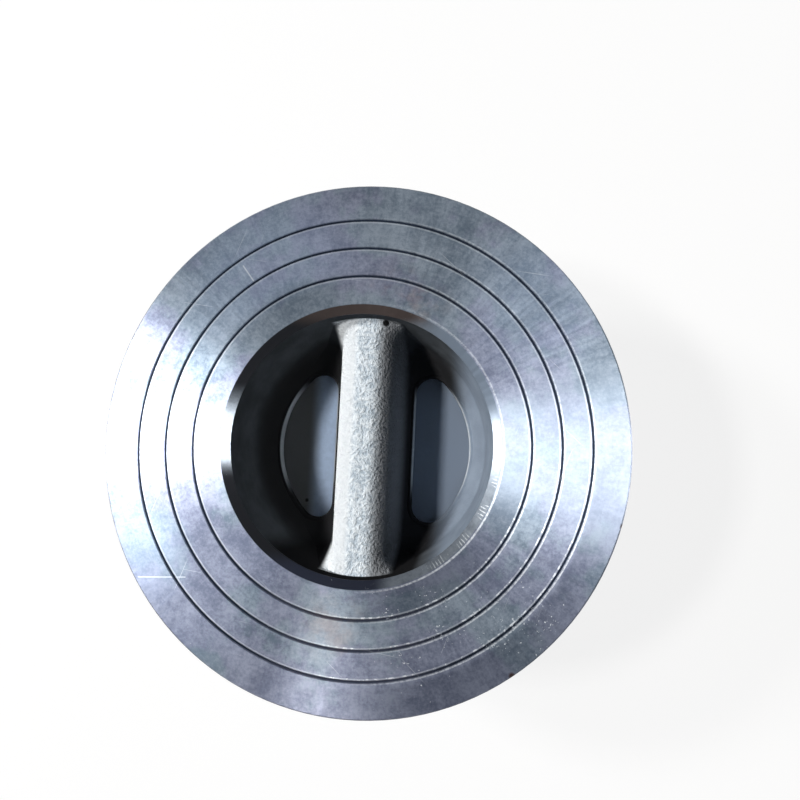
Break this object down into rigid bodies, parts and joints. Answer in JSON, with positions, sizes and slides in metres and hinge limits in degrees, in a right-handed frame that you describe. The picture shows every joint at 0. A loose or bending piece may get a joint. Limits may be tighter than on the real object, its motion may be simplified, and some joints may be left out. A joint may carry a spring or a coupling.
{
  "type": "wafer non-return valve",
  "caption": "Short round body clamped between pipe flanges, with turned sealing grooves and sprung half-disc plates that shut behind a central bridge.",
  "frame": {"origin": "centre of the outlet face, on the flow axis", "axes": "+Z along the flow axis towards the inlet, +Y along the pins (top end in a level pipe), +X across the bridge to the right-hand plate"},
  "size_m": [0.107, 0.107, 0.06],
  "materials": {
    "cast_steel": "turned faces, grooves and mouth; blasted casting elsewhere",
    "seal_rubber": "smooth moulded",
    "plate_steel": "cast back, ground face",
    "pin_steel": "ground",
    "spring_wire": "drawn wire",
    "bearing_plastic": "turned",
    "plug_steel": "turned",
    "gasket_graphite": "matt"
  },
  "bodies": {
    "body": {"valve_body": "cast_steel", "seat_seal_right": "seal_rubber", "seat_seal_left": "seal_rubber", "hinge_pin": "pin_steel", "stop_pin": "pin_steel", "spring_top": "spring_wire", "spring_bottom": "spring_wire", "body_bearing_top": "bearing_plastic", "body_bearing_bottom": "bearing_plastic", "plate_bearing_top": "bearing_plastic", "plate_bearing_bottom": "bearing_plastic", "spring_bearing_top": "bearing_plastic", "spring_bearing_bottom": "bearing_plastic", "middle_spring_bearing": "bearing_plastic", "hinge_pin_plugs": "plug_steel", "stop_pin_plugs": "plug_steel", "hinge_plug_gaskets": "gasket_graphite", "stop_plug_gaskets": "gasket_graphite"},
    "right_plate": {"plate_right": "plate_steel"},
    "left_plate": {"plate_left": "plate_steel"}
  },
  "joints": [
    {"name": "right_plate_hinge", "type": "hinge", "parent": "body", "child": "right_plate", "pos_m": [0, 0, 0.0272], "axis": [0, 1, 0], "range_deg": [0, 80], "stiffness_Nm_per_rad": 0.02, "springref_deg": -85.94, "deforming": ["spring_top", "spring_bottom"]},
    {"name": "left_plate_hinge", "type": "hinge", "parent": "body", "child": "left_plate", "pos_m": [0, 0, 0.0272], "axis": [0, -1, 0], "range_deg": [0, 80], "stiffness_Nm_per_rad": 0.02, "springref_deg": -85.94, "deforming": ["spring_top", "spring_bottom"]}
  ]
}
